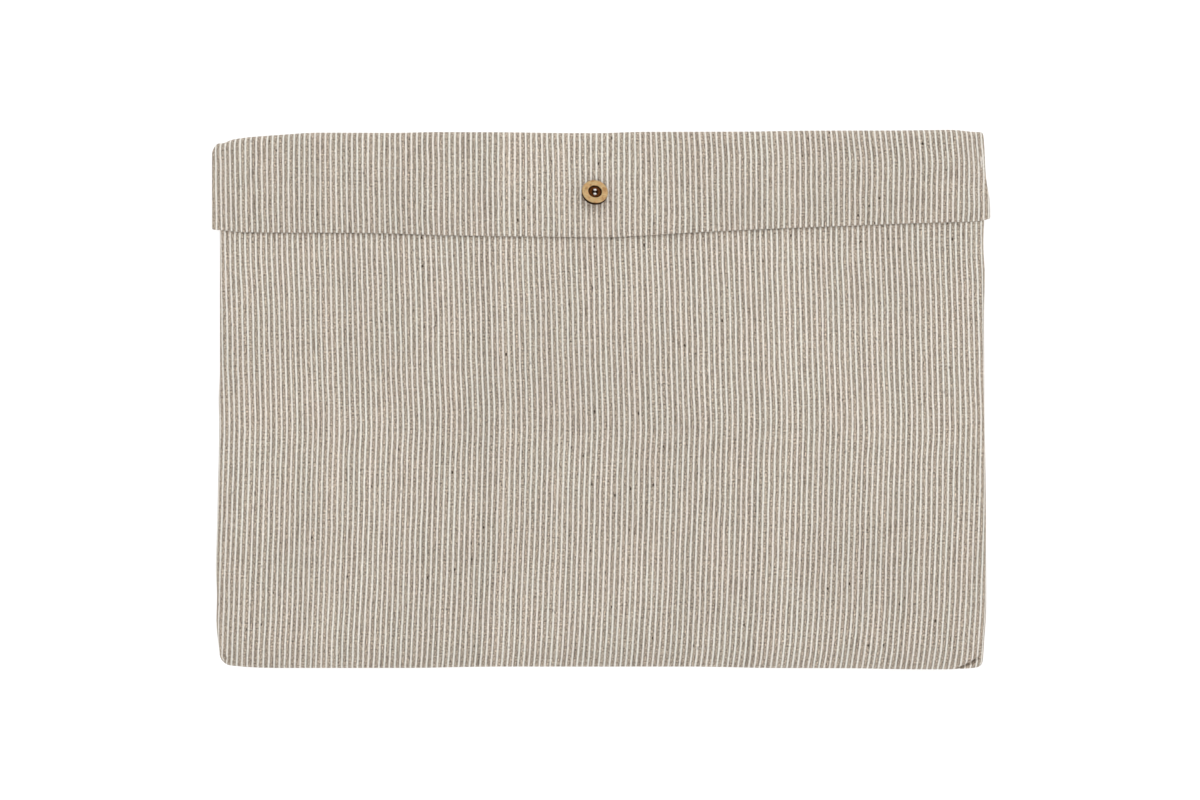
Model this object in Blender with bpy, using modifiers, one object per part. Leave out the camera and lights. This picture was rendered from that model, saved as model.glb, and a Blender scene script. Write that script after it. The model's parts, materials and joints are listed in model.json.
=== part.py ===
"""Padded linen laptop sleeve: a striped pouch, a fold-over flap held by hidden magnets, and a wooden button.

Metres, +Z up. The sleeve lies on its back panel at z = 0, with its folded edge toward +Y and its bottom edge
toward -Y. The flap opens at two creases, one each side of the narrow spine strip, and the button rocks on its thread.
"""
import math

import bmesh
import bpy
from mathutils import Vector

# Pouch
POUCH_WIDTH = 0.382
LENGTH = 0.2675  # folded edge to bottom edge
POCKET_HEIGHT = 0.012  # clear height between the linings
CORNER_RADIUS = 0.011  # bottom corners, seen from above
LEAST_CORNER = 0.0005
RIM_RADIUS = 0.0042  # rolled edge either side of the seam
SIDE_SLOPE = math.radians(30)  # from that edge up to the shoulder
SHOULDER_RADIUS = 0.012  # from the slope to the flat
MOUTH_SETBACK = 0.00275  # mouth edge to the start of the fold's bend

# Cloth layers, outside to inside
GAP = 0.0003
LINEN = 0.0006
PADDING = 0.0020
LINING = 0.0005
INTERLINING = 0.0010

# Flap and fold
FLAP_WIDTH = 0.3875
FLAP_DEPTH = 0.0522  # folded edge to the middle of the flap's lower edge
FLAP_BOW = 0.0045  # how far that edge rises toward its two ends
FLAP_CORNER = 0.0035
BEND_RADIUS = 0.005
LIP_ANGLE = math.radians(42)  # each body's cloth turns this far into a bend

# Seam allowances
SEAM_WIDTH = 0.0012
SEAM_THICKNESS = 0.0010
PADDING_SEAM_GAP = 0.0012  # the padding stops this far from the middle of the rim
FLAP_SEAM_INSET = 0.0012
FLAP_SEAM_WIDTH = 0.0048
FACING_INSET = 0.0040

# Button
BUTTON_X = -0.00325
BUTTON_Y = 0.1020
BUTTON_RADIUS = 0.0065
BUTTON_THICKNESS = 0.0022
BUTTON_ROUNDING = 0.0003
DISH_RADIUS = 0.0034
DISH_DEPTH = 0.0005
HOLE_RADIUS = 0.00072
HOLE_OFFSET = 0.00105
BUTTON_LEAN = math.radians(26)
SHANK_RADIUS = 0.0010
SHANK_CLEARANCE = 0.0006
THREAD_RADIUS = 0.00036

# Magnets
MAGNET_RADIUS = 0.0075
FRONT_MAGNET = 0.0016
FLAP_MAGNET = 0.0008

# Worked out from the above
FOLD_Y = LENGTH / 2
PADDING_INSET = LINEN + GAP
LINING_INSET = PADDING_INSET + PADDING + GAP
POUCH_HEIGHT = POCKET_HEIGHT + 2 * (LINING_INSET + LINING)
MID_Z = POUCH_HEIGHT / 2
SLOPE_LENGTH = (
    MID_Z - SHOULDER_RADIUS + (SHOULDER_RADIUS - RIM_RADIUS) * math.cos(SIDE_SLOPE)
) / math.sin(SIDE_SLOPE)
SHOULDER_INSET = (
    RIM_RADIUS
    + (SHOULDER_RADIUS - RIM_RADIUS) * math.sin(SIDE_SLOPE)
    + SLOPE_LENGTH * math.cos(SIDE_SLOPE)
)
BEND_Y = FOLD_Y - BEND_RADIUS
MOUTH_Y = BEND_Y - MOUTH_SETBACK
FACING_INSIDE = LINEN + GAP + INTERLINING + GAP
FLAP_RISE = GAP + FACING_INSIDE + LINING  # outside of the flap above the front panel
TOP_Z = POUCH_HEIGHT + FLAP_RISE
FLAP_EDGE_Y = FOLD_Y - FLAP_DEPTH
FLAP_HALF = FLAP_WIDTH / 2
PIVOT_Y = BEND_Y + BEND_RADIUS * math.pi / 4  # an axis here keeps the cloth's length as a bend opens
PIVOT_RISE = BEND_RADIUS * (1 - math.pi / 4)
BUTTON_FOOT_Z = TOP_Z + GAP + BUTTON_RADIUS * math.sin(BUTTON_LEAN)
FLAT_COLUMNS = 12
SLOPE_COLUMNS = 6
BEND_STEPS = 4
CORNER_STEPS = 6

# Finishes: colour, roughness, metallic
FINISHES = {
    "striped_linen": ((0.527, 0.462, 0.397), 0.92, 0.0),
    "lining_linen": ((0.640, 0.590, 0.520), 0.90, 0.0),
    "wadding": ((0.860, 0.850, 0.820), 0.95, 0.0),
    "interlining": ((0.800, 0.790, 0.760), 0.95, 0.0),
    "seam_linen": ((0.500, 0.440, 0.380), 0.92, 0.0),
    "button_wood": ((0.610, 0.400, 0.200), 0.60, 0.0),
    "cotton_thread": ((0.750, 0.690, 0.600), 0.85, 0.0),
    "magnet_nickel": ((0.640, 0.640, 0.650), 0.30, 1.0),
}


# Scene helpers


def clear_scene():
    for old in list(bpy.data.objects):
        bpy.data.objects.remove(old, do_unlink=True)


def new_collection(name):
    made = bpy.data.collections.new(name)
    bpy.context.scene.collection.children.link(made)
    return made


def finish(name):
    colour, roughness, metallic = FINISHES[name]
    made = bpy.data.materials.get(name) or bpy.data.materials.new(name)
    made.use_nodes = True
    shader = made.node_tree.nodes["Principled BSDF"]
    shader.inputs["Base Color"].default_value = (*colour, 1.0)
    shader.inputs["Roughness"].default_value = roughness
    shader.inputs["Metallic"].default_value = metallic
    return made


def add_empty(name, location, parent=None):
    made = bpy.data.objects.new(name, None)
    made.empty_display_size = 0.01
    parts.objects.link(made)
    made.location = location
    if parent is not None:
        made.parent = parent
        made.location = Vector(location) - world_origin(parent)
    return made


def world_origin(obj):
    """Where an unrotated chain of empties puts an object's origin."""
    place = Vector(obj.location)
    while obj.parent is not None:
        obj = obj.parent
        place += obj.location
    return place


def add_part(name, bm, finish_name, parent=None):
    """An object from a bmesh in world coordinates; under a parent empty its origin is the empty's."""
    if parent is not None:
        bmesh.ops.translate(bm, verts=bm.verts, vec=-world_origin(parent))
    mesh = bpy.data.meshes.new(name)
    bm.to_mesh(mesh)
    bm.free()
    mesh.materials.append(finish(finish_name))
    made = bpy.data.objects.new(name, mesh)
    parts.objects.link(made)
    made.parent = parent
    return made


def thicken(obj, thickness, offset=-1.0):
    """Gives an open surface its cloth's thickness, by default on the inner side of its outward faces."""
    solid = obj.modifiers.new("cloth thickness", "SOLIDIFY")
    solid.thickness = thickness
    solid.offset = offset
    solid.use_even_offset = True


def cut(obj, cutter_bm, name):
    """Takes a shape, given in the object's own coordinates, out of the object."""
    mesh = bpy.data.meshes.new(name)
    cutter_bm.to_mesh(mesh)
    cutter_bm.free()
    cutter = bpy.data.objects.new(name, mesh)
    cutters.objects.link(cutter)
    cutter.parent = obj.parent
    cutter.hide_render = True
    cutter.display_type = "WIRE"
    hole = obj.modifiers.new(name, "BOOLEAN")
    hole.operation = "DIFFERENCE"
    hole.solver = "EXACT"
    hole.object = cutter


def shade_round(obj):
    """Smooth sides, flat ends."""
    for face in obj.data.polygons:
        face.use_smooth = abs(face.normal.z) < 0.5


def disc(radius, low_z, high_z, x, y, sides=48):
    """A cylinder standing on Z, as a bmesh."""
    bm = bmesh.new()
    bmesh.ops.create_cone(
        bm, cap_ends=True, segments=sides, radius1=radius, radius2=radius, depth=high_z - low_z
    )
    bmesh.ops.translate(bm, verts=bm.verts, vec=(x, y, (low_z + high_z) / 2))
    return bm


# The pouch's form


def side_profile(depth, seam_gap):
    """(inset, height above the middle) from the seam in to the flat, this far inside the linen."""
    rim = RIM_RADIUS - depth
    shoulder = SHOULDER_RADIUS - depth
    turn = math.pi / 2 - SIDE_SLOPE
    start = math.asin(seam_gap / rim)
    points = []
    for i in range(CORNER_STEPS + 1):
        a = start + (turn - start) * i / CORNER_STEPS
        points.append((RIM_RADIUS - rim * math.cos(a), rim * math.sin(a)))
    for i in range(CORNER_STEPS + 1):
        a = turn + SIDE_SLOPE * i / CORNER_STEPS
        height = MID_Z - SHOULDER_RADIUS + shoulder * math.sin(a)
        points.append((SHOULDER_INSET - shoulder * math.cos(a), height))
    return points


def half_height(x, rise):
    """Height above the middle at x of a surface this far outside the linen, its slopes carried straight on."""
    inset = POUCH_WIDTH / 2 - abs(x)
    shoulder = SHOULDER_RADIUS + rise
    across = SHOULDER_INSET - inset
    if across <= 0:
        return MID_Z + rise
    if across <= shoulder * math.sin(SIDE_SLOPE):
        return MID_Z - SHOULDER_RADIUS + math.sqrt(shoulder**2 - across**2)
    slope_start = MID_Z - SHOULDER_RADIUS + shoulder * math.cos(SIDE_SLOPE)
    return slope_start - (across - shoulder * math.sin(SIDE_SLOPE)) * math.tan(SIDE_SLOPE)


def outline(inset):
    """Three sides of the pouch, seen from above: down the -X side, along the bottom and up to the mouth."""
    radius = max(CORNER_RADIUS - inset, LEAST_CORNER)
    across = POUCH_WIDTH / 2 - inset - radius
    low = inset + radius - FOLD_Y
    points = [(inset - POUCH_WIDTH / 2, MOUTH_Y)]
    for side, start in ((-1, math.pi), (1, 1.5 * math.pi)):
        for i in range(CORNER_STEPS + 1):
            a = start + math.pi / 2 * i / CORNER_STEPS
            points.append((side * across + radius * math.cos(a), low + radius * math.sin(a)))
    points.append((POUCH_WIDTH / 2 - inset, MOUTH_Y))
    return points


def bend_radius(x):
    """The fold's two bends tighten where the pouch thins toward its sides."""
    return min(BEND_RADIUS, (half_height(x, 0.0) + half_height(x, FLAP_RISE)) / 2 - LEAST_CORNER / 2)


def bend_point(x, rise, depth, angle):
    """A point of the fold, relative to the middle plane, from 0 facing +Y to a right angle facing up."""
    radius = bend_radius(x)
    reach = radius - depth
    y = FOLD_Y - radius + reach * math.cos(angle)
    return Vector((x, y, half_height(x, rise) - radius + reach * math.sin(angle)))


def bend_angles(start, end):
    return [start + (end - start) * i / BEND_STEPS for i in range(BEND_STEPS + 1)]


# Pouch


def tray(depth, seam_gap):
    """Outer face of the pouch's upper half, this far inside the linen, open at the seam and the mouth."""
    bm = bmesh.new()
    rings = []
    for inset, height in side_profile(depth, seam_gap):
        rings.append([bm.verts.new((x, y, height)) for x, y in outline(inset)])
    for low, high in zip(rings, rings[1:]):
        for i in range(len(low) - 1):
            bm.faces.new((low[i], low[i + 1], high[i + 1], high[i]))
    bm.faces.new(rings[-1])
    return bm


def extend_to_bend(bm):
    """Carries the slopes and flat of the panel past the mouth, as wide as the flap, and round into the bend."""
    low_point = half_height(FLAP_HALF, 0.0)
    edges = [
        e
        for e in bm.edges
        if e.is_boundary and all(v.co.y > MOUTH_Y - GAP and v.co.z > low_point for v in e.verts)
    ]
    widen = FLAP_HALF / max(abs(v.co.x) for e in edges for v in e.verts)
    for angle in bend_angles(math.pi / 2, math.pi / 2 - LIP_ANGLE):
        grown = bmesh.ops.extrude_edge_only(bm, edges=edges)["geom"]
        edges = [g for g in grown if isinstance(g, bmesh.types.BMEdge)]
        for vert in (g for g in grown if isinstance(g, bmesh.types.BMVert)):
            vert.co = bend_point(vert.co.x * widen, 0.0, 0.0, angle)
        widen = 1.0


def turn_over(bm):
    bmesh.ops.scale(bm, verts=bm.verts, vec=(1, 1, -1))
    bmesh.ops.reverse_faces(bm, faces=bm.faces)


def lift(bm):
    bmesh.ops.translate(bm, verts=bm.verts, vec=(0, 0, MID_Z))
    return bm


def pouch_layers():
    layers = {
        "panel": (0.0, LINEN, GAP / 2, "striped_linen"),
        "padding": (PADDING_INSET, PADDING, PADDING_SEAM_GAP, "wadding"),
        "lining": (LINING_INSET, LINING, GAP / 2, "lining_linen"),
    }
    made = {}
    for layer, (depth, thickness, seam_gap, finish_name) in layers.items():
        back = tray(depth, seam_gap)
        if layer == "panel":
            extend_to_bend(back)
        turn_over(back)
        for side, bm in (("back", back), ("front", tray(depth, seam_gap))):
            obj = add_part(f"{side}_{layer}", lift(bm), finish_name)
            thicken(obj, thickness)
            made[f"{side}_{layer}"] = obj
    return made


def ribbon(outer, inner):
    """A strip between two lines with as many points each."""
    bm = bmesh.new()
    rows = [[bm.verts.new(p) for p in line] for line in (outer, inner)]
    for i in range(len(outer) - 1):
        bm.faces.new((rows[0][i], rows[0][i + 1], rows[1][i + 1], rows[1][i]))
    return bm


def seam_allowances():
    """The turned-in margins of the panels, stitched together just inside the rolled edge."""
    insets = (PADDING_INSET, PADDING_INSET + SEAM_WIDTH)
    lines = [[(x, y, MID_Z) for x, y in outline(inset)] for inset in insets]
    runs = {
        "side_seam_left": [[line[0], shifted(line[1], GAP)] for line in lines],
        "bottom_seam": [line[1:-1] for line in lines],
        "side_seam_right": [[shifted(line[-2], GAP), line[-1]] for line in lines],
    }
    for name, (outer, inner) in runs.items():
        thicken(add_part(name, ribbon(outer, inner), "seam_linen"), SEAM_THICKNESS, 0.0)


def shifted(point, up):
    x, y, z = point
    return (x, y + up, z)


def front_magnet(front_padding):
    """A sewn-in disc magnet, in a hole in the front padding."""
    middle = POUCH_HEIGHT - PADDING_INSET - PADDING / 2
    low, high = middle - FRONT_MAGNET / 2, middle + FRONT_MAGNET / 2
    shade_round(add_part("front_magnet", disc(MAGNET_RADIUS, low, high, BUTTON_X, BUTTON_Y), "magnet_nickel"))
    hole = disc(MAGNET_RADIUS + GAP, middle - PADDING, middle + PADDING, BUTTON_X, BUTTON_Y)
    cut(front_padding, hole, "front_magnet_hole")


# Spine and flap


def rows_surface(rows):
    """An open surface through rows of points, each row running toward +X and the next row further over the fold."""
    bm = bmesh.new()
    grid = [[bm.verts.new(p) for p in row] for row in rows]
    for low, high in zip(grid, grid[1:]):
        for i in range(len(low) - 1):
            bm.faces.new((low[i], high[i], high[i + 1], low[i + 1]))
    return bm


def spread(half):
    """Positions across the flap, closer together on the side slopes."""
    flat = POUCH_WIDTH / 2 - SHOULDER_INSET
    steps = [flat * i / FLAT_COLUMNS for i in range(FLAT_COLUMNS)]
    steps += [flat + (half - flat) * i / SLOPE_COLUMNS for i in range(SLOPE_COLUMNS + 1)]
    return [-x for x in reversed(steps[1:])] + steps


def spine_layer(name, depth, thickness, margin, finish_name, parent):
    columns = spread(FLAP_HALF - margin)
    rows = []
    for angle in bend_angles(LIP_ANGLE, 0.0):
        rows.append([mirrored(bend_point(x, 0.0, depth, angle)) for x in columns])
    for angle in bend_angles(0.0, LIP_ANGLE):
        rows.append([bend_point(x, FLAP_RISE, depth, angle) for x in columns])
    thicken(add_part(name, lift(rows_surface(rows)), finish_name, parent), thickness)


def mirrored(point):
    return Vector((point.x, point.y, -point.z))


def flap_edge(x, margin):
    """The flap's lower edge is a shallow bow, lowest in the middle."""
    return FLAP_EDGE_Y + FLAP_BOW * (x / FLAP_HALF) ** 2 + margin


def flap_point(x, y, depth):
    return Vector((x, y, half_height(x, FLAP_RISE) - depth))


def flap_layer(name, depth, thickness, margin, finish_name, parent):
    columns = spread(FLAP_HALF - margin)
    rows = [
        [bend_point(x, FLAP_RISE, depth, angle) for x in columns]
        for angle in bend_angles(math.pi / 2 - LIP_ANGLE, math.pi / 2)
    ]
    rows.append([flap_point(x, flap_edge(x, margin), depth) for x in columns])
    bm = rows_surface(rows)
    corner = FLAP_CORNER - margin
    if corner > 0:
        tips = [v for v in bm.verts if len(v.link_edges) == 2 and v.co.y < MOUTH_Y]
        bmesh.ops.bevel(bm, geom=tips, offset=corner, segments=4, profile=0.5, affect="VERTICES")
    obj = add_part(name, lift(bm), finish_name, parent)
    thicken(obj, thickness)
    return obj


def flap_seam(parent):
    """The flap's turned-in margins, in the plane of the interlining and all round it."""
    depth = LINEN + GAP + INTERLINING / 2
    lines = []
    for margin in (FLAP_SEAM_INSET, FLAP_SEAM_INSET + FLAP_SEAM_WIDTH):
        columns = spread(FLAP_HALF - margin)
        line = [flap_point(x, flap_edge(x, margin), depth) for x in columns]
        ends = [flap_point(x, BEND_Y - GAP, depth) for x in (columns[0], columns[-1])]
        lines.append([ends[0], *line, ends[1]])
    thicken(add_part("flap_seam", lift(ribbon(*lines)), "seam_linen", parent), INTERLINING, 0.0)


def flap_magnet(interlining, parent):
    """The magnet's partner, in a hole in the flap's interlining."""
    middle = TOP_Z - LINEN - GAP - INTERLINING / 2
    low, high = middle - FLAP_MAGNET / 2, middle + FLAP_MAGNET / 2
    magnet = disc(MAGNET_RADIUS, low, high, BUTTON_X, BUTTON_Y)
    shade_round(add_part("flap_magnet", magnet, "magnet_nickel", parent))
    hole = disc(MAGNET_RADIUS + GAP, middle - INTERLINING, middle + INTERLINING, BUTTON_X, BUTTON_Y)
    bmesh.ops.translate(hole, verts=hole.verts, vec=-world_origin(parent))
    cut(interlining, hole, "flap_magnet_hole")


# Button


def thread_shank(parent):
    """The wound thread stem between the flap and the button."""
    stem = disc(SHANK_RADIUS, TOP_Z + GAP, BUTTON_FOOT_Z - SHANK_CLEARANCE, BUTTON_X, BUTTON_Y, 20)
    shade_round(add_part("thread_shank", stem, "cotton_thread", parent))


def wooden_button(pivot):
    """A turned disc with a dished face and two holes, standing on its pivot."""
    profile = [
        (0.0, BUTTON_THICKNESS - DISH_DEPTH),
        (DISH_RADIUS - BUTTON_ROUNDING, BUTTON_THICKNESS - DISH_DEPTH),
        (DISH_RADIUS, BUTTON_THICKNESS),
        (BUTTON_RADIUS - BUTTON_ROUNDING, BUTTON_THICKNESS),
        (BUTTON_RADIUS, BUTTON_THICKNESS - BUTTON_ROUNDING),
        (BUTTON_RADIUS, BUTTON_ROUNDING),
        (BUTTON_RADIUS - BUTTON_ROUNDING, 0.0),
        (0.0, 0.0),
    ]
    bm = bmesh.new()
    verts = [bm.verts.new((radius, 0.0, z)) for radius, z in profile]
    for pair in zip(verts, verts[1:]):
        bm.edges.new(pair)
    mesh = bpy.data.meshes.new("wooden_button")
    bm.to_mesh(mesh)
    bm.free()
    mesh.materials.append(finish("button_wood"))
    button = bpy.data.objects.new("wooden_button", mesh)
    parts.objects.link(button)
    button.parent = pivot
    turned = button.modifiers.new("turned", "SCREW")
    turned.steps = 64
    turned.render_steps = 64
    turned.use_merge_vertices = True
    turned.merge_threshold = 0.00001
    turned.use_smooth_shade = False
    for name, y in (("upper_hole", HOLE_OFFSET), ("lower_hole", -HOLE_OFFSET)):
        cut(button, disc(HOLE_RADIUS, -BUTTON_THICKNESS, 2 * BUTTON_THICKNESS, 0.0, y, 20), name)


def button_thread(pivot):
    """One stitch, up through a hole, across and down through the other."""
    bar_z = BUTTON_THICKNESS - DISH_DEPTH + GAP + THREAD_RADIUS
    curve = bpy.data.curves.new("button_thread", "CURVE")
    curve.dimensions = "3D"
    curve.bevel_depth = THREAD_RADIUS
    curve.bevel_resolution = 2
    curve.use_fill_caps = True
    turn = HOLE_OFFSET / 2
    points = [(-HOLE_OFFSET, 0.0)]
    for i in range(BEND_STEPS + 1):
        a = math.pi - math.pi / 2 * i / BEND_STEPS
        points.append((-HOLE_OFFSET + turn + turn * math.cos(a), bar_z - turn + turn * math.sin(a)))
    points += [(-y, z) for y, z in reversed(points)]
    spline = curve.splines.new("POLY")
    spline.points.add(len(points) - 1)
    for point, (y, z) in zip(spline.points, points):
        point.co = (0.0, y, z, 1.0)
    curve.materials.append(finish("cotton_thread"))
    stitch = bpy.data.objects.new("button_thread", curve)
    parts.objects.link(stitch)
    stitch.parent = pivot


def spine_and_flap():
    """The spine strip on its hinge, and the flap on a second hinge carried by the spine."""
    spine_hinge = add_empty("spine_hinge", (0.0, PIVOT_Y, PIVOT_RISE))
    flap_hinge = add_empty("flap_hinge", (0.0, PIVOT_Y, TOP_Z - PIVOT_RISE), spine_hinge)
    core_margin = FLAP_SEAM_INSET + FLAP_SEAM_WIDTH + GAP
    layers = {
        "panel": (0.0, LINEN, 0.0, "striped_linen"),
        "interlining": (LINEN + GAP, INTERLINING, core_margin, "interlining"),
        "lining": (FACING_INSIDE, LINING, FACING_INSET, "lining_linen"),
    }
    made = {}
    for layer, (depth, thickness, margin, finish_name) in layers.items():
        spine_layer(f"spine_{layer}", depth, thickness, margin, finish_name, spine_hinge)
        flap_name = "flap_facing" if layer == "lining" else f"flap_{layer}"
        made[layer] = flap_layer(flap_name, depth, thickness, margin, finish_name, flap_hinge)
    flap_seam(flap_hinge)
    flap_magnet(made["interlining"], flap_hinge)
    return flap_hinge


def button(flap_hinge):
    """The button and its stitch on a pivot at the top of the shank, leaning toward the fold."""
    thread_shank(flap_hinge)
    pivot = add_empty("button_pivot", (BUTTON_X, BUTTON_Y, BUTTON_FOOT_Z), flap_hinge)
    pivot.rotation_euler.x = -BUTTON_LEAN
    wooden_button(pivot)
    button_thread(pivot)


clear_scene()
parts = new_collection("laptop_sleeve")
cutters = new_collection("cutters")
pouch = pouch_layers()
seam_allowances()
front_magnet(pouch["front_padding"])
button(spine_and_flap())
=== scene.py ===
"""Looks of a striped linen laptop sleeve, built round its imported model: cloth, padding, button and studio.

Every cloth piece is a grid of points along and across the cloth, worked out from the pouch's section and the
fold's two bends, and carries a "cloth" UV map in metres, so that stripes and weave follow the cloth.
"""

import json
import math

import bmesh
import bpy
import numpy as np
from mathutils import Matrix, Vector


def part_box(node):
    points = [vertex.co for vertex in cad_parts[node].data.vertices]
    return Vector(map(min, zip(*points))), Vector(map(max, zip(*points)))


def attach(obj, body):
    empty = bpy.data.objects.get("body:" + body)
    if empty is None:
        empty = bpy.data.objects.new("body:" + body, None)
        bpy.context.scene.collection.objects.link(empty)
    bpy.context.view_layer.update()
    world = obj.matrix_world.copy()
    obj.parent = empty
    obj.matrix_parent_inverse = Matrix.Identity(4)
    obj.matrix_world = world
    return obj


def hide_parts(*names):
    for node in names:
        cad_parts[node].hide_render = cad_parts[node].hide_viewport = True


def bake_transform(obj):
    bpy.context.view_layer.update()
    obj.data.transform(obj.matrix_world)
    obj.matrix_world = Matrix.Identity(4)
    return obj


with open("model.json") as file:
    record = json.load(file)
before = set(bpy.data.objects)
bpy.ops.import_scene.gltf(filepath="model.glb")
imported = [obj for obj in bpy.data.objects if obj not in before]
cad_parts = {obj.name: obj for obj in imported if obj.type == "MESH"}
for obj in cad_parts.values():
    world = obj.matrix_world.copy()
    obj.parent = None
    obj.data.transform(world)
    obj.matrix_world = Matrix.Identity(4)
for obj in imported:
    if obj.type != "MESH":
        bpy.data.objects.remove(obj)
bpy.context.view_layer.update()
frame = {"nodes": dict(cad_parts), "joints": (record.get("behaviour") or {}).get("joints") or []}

# Sizes read from the frame
front_low, front_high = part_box("front_panel")
flap_low, flap_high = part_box("flap_panel")
_, spine_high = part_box("spine_panel")
HALF_WIDTH = front_high.x
BOTTOM_Y = front_low.y
MOUTH_Y = front_high.y
FOLD_Y = spine_high.y
MID_Z = front_high.z / 2
FLAP_HALF = flap_high.x
FLAP_EDGE_Y = flap_low.y
FLAP_RISE = flap_high.z - front_high.z
magnet_low, magnet_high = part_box("front_magnet")
MAGNET_X = (magnet_low.x + magnet_high.x) / 2
MAGNET_Y = (magnet_low.y + magnet_high.y) / 2
MAGNET_RADIUS = (magnet_high.x - magnet_low.x) / 2
BUTTON_PIVOT = Vector(next(joint["pos_m"] for joint in frame["joints"] if joint["name"] == "button_rock"))

# The pouch's section, as in the CAD part: a round rim at the seam, a slope, a shoulder, then the flat
RIM_RADIUS = 0.0042
SIDE_SLOPE = math.radians(30)
SHOULDER_RADIUS = 0.012
BEND_RADIUS = 0.005  # of the fold's two bends
TURN = math.pi / 2 - SIDE_SLOPE  # that the rim makes
RIM_LENGTH = RIM_RADIUS * TURN
SLOPE_LENGTH = (
    MID_Z - SHOULDER_RADIUS + (SHOULDER_RADIUS - RIM_RADIUS) * math.cos(SIDE_SLOPE)
) / math.sin(SIDE_SLOPE)
SHOULDER_INSET = (
    RIM_RADIUS
    + (SHOULDER_RADIUS - RIM_RADIUS) * math.sin(SIDE_SLOPE)
    + SLOPE_LENGTH * math.cos(SIDE_SLOPE)
)
TO_FLAT = RIM_LENGTH + SLOPE_LENGTH + SHOULDER_RADIUS * SIDE_SLOPE  # along the cloth from the seam
# Radii of the bottom corners, seen from above
LEFT_CORNER = 0.0057
RIGHT_CORNER = 0.003

# Thicknesses
LINEN = 0.00028
LINING = 0.0005
WADDING = 0.0019
FLEECE = 0.0008
SEAM_MARGIN = 0.0010
# How far inside the linen's outer face the layers' outer faces lie
WADDING_DEPTH = 0.0010
LINING_DEPTH = 0.0032
FLEECE_DEPTH = 0.0009
FACING_DEPTH = 0.0021
HEM_DEPTH = 0.00058
# Edges
HEM = 0.006  # cloth turned under the flap's edges
HEM_CLEARANCE = 0.00015  # from the flap's hem to the front panel
THIN_EDGE = 0.00074  # the flap's face above the front panel at its edges
FLAP_TAPER = 0.013  # from the flap's edges to where it stands at its full rise
FACING_INSET = 0.004
FLEECE_INSET = HEM + 0.0005
MOUTH_HEM = 0.009  # linen turned into the pocket at its mouth
MOUTH_ROUND = 0.0016  # how far the mouth's round edge reaches past its straight part
TUCK = 0.0001  # how much deeper the back's linen ends, behind the flap's
# Weave
STRIPE = 0.00269  # from one stripe to the next
WARP_PITCH = STRIPE / 6
WEFT_PITCH = 0.00052
# Grids of points
STEP = 0.004  # on the flat
BEND_STEPS = 7  # round each bend of the fold

X_AXIS = np.array([1.0, 0.0, 0.0])
Y_AXIS = np.array([0.0, 1.0, 0.0])

# How the sewn sleeve departs from its pattern: (place, shift) in metres, read as smooth curves
FOLD_SHIFT = ((-0.1937, -0.0056), (-0.1900, -0.0053), (-0.1868, -0.0039), (-0.1815, -0.0034),
              (-0.1730, -0.0027), (-0.1585, -0.0017), (-0.140, -0.0007), (-0.105, -0.0008),
              (-0.080, -0.0004), (-0.050, -0.0005), (-0.015, -0.0009), (0.0, -0.0009), (0.020, -0.0003),
              (0.070, -0.0002), (0.105, 0.0003), (0.150, 0.0004), (0.176, 0.0007), (0.186, 0.0004),
              (0.1937, 0.0001))
BOTTOM_SHIFT = ((-0.1915, 0.0016), (-0.1805, 0.0004), (-0.1715, -0.0002), (-0.160, -0.0004),
                (-0.100, -0.0004), (-0.050, 0.0003), (0.045, 0.0003), (0.085, -0.0004), (0.130, -0.0006),
                (0.155, -0.0011), (0.172, -0.0011), (0.184, -0.0006), (0.1915, 0.0003))
FLAP_EDGE = ((-0.1940, 0.0860), (-0.1925, 0.0850), (-0.188, 0.0845), (-0.176, 0.0832), (-0.116, 0.0829),
             (-0.078, 0.0818), (-0.028, 0.0811), (0.002, 0.0808), (0.030, 0.0822), (0.062, 0.0840),
             (0.112, 0.0861), (0.160, 0.0880), (0.183, 0.0888), (0.192, 0.0903), (0.1942, 0.0917))
LEFT_SIDE = ((-0.134, 0.0005), (-0.128, 0.0004), (-0.122, -0.0003), (-0.110, -0.0012), (-0.098, -0.0009),
             (-0.086, -0.0014), (-0.062, -0.0008), (-0.040, -0.0003), (-0.012, 0.0003), (0.0, 0.0),
             (0.015, 0.0005), (0.085, 0.0006))
RIGHT_SIDE = ((-0.1335, -0.0003), (-0.128, 0.0004), (-0.120, 0.0009), (-0.106, 0.0018), (-0.095, 0.0019),
              (-0.050, 0.0017), (0.0, 0.0010), (0.040, 0.0008), (0.064, 0.0012), (0.076, 0.0005),
              (0.082, 0.0005), (0.088, 0.0009), (0.096, 0.0004))
LEFT_FLAP = ((0.085, -0.0004), (0.1285, -0.0004), (0.1322, 0.0009), (0.1336, 0.0022))
RIGHT_FLAP = ((0.0905, 0.0008), (0.098, 0.0006), (0.1063, -0.0006), (0.1132, -0.0014), (0.1322, -0.0025),
              (0.1336, -0.0033))
# Sideways drift of the stripes down the pouch
DRIFT = ((-0.134, -0.0024), (-0.126, -0.0016), (-0.114, -0.0009), (-0.090, 0.0001), (-0.060, 0.0011),
         (-0.030, 0.0019), (-0.012, 0.0025), (0.018, 0.0016), (0.050, 0.0009), (0.078, 0.0), (0.134, -0.0004))
# and across it, where the cloth was stretched or eased as it was sewn
FRONT_DRIFT = ((-0.186, 0.0015), (-0.160, 0.0010), (-0.135, 0.0002), (-0.110, -0.0004), (-0.085, -0.0008),
               (0.050, -0.0009), (0.115, -0.0005), (0.165, -0.0004))
FLAP_DRIFT = ((-0.186, 0.0014), (-0.160, 0.0010), (-0.135, 0.0004), (-0.105, 0.0), (-0.085, 0.0),
              (-0.010, 0.0004), (0.040, 0.0010), (0.065, 0.0016), (0.115, 0.0020), (0.165, 0.0023))
# The pinched crease across the front's bottom right corner
CREASE_START = np.array([0.1770, -0.1345])
CREASE_END = np.array([0.1897, -0.1277])


# Numbers


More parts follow.
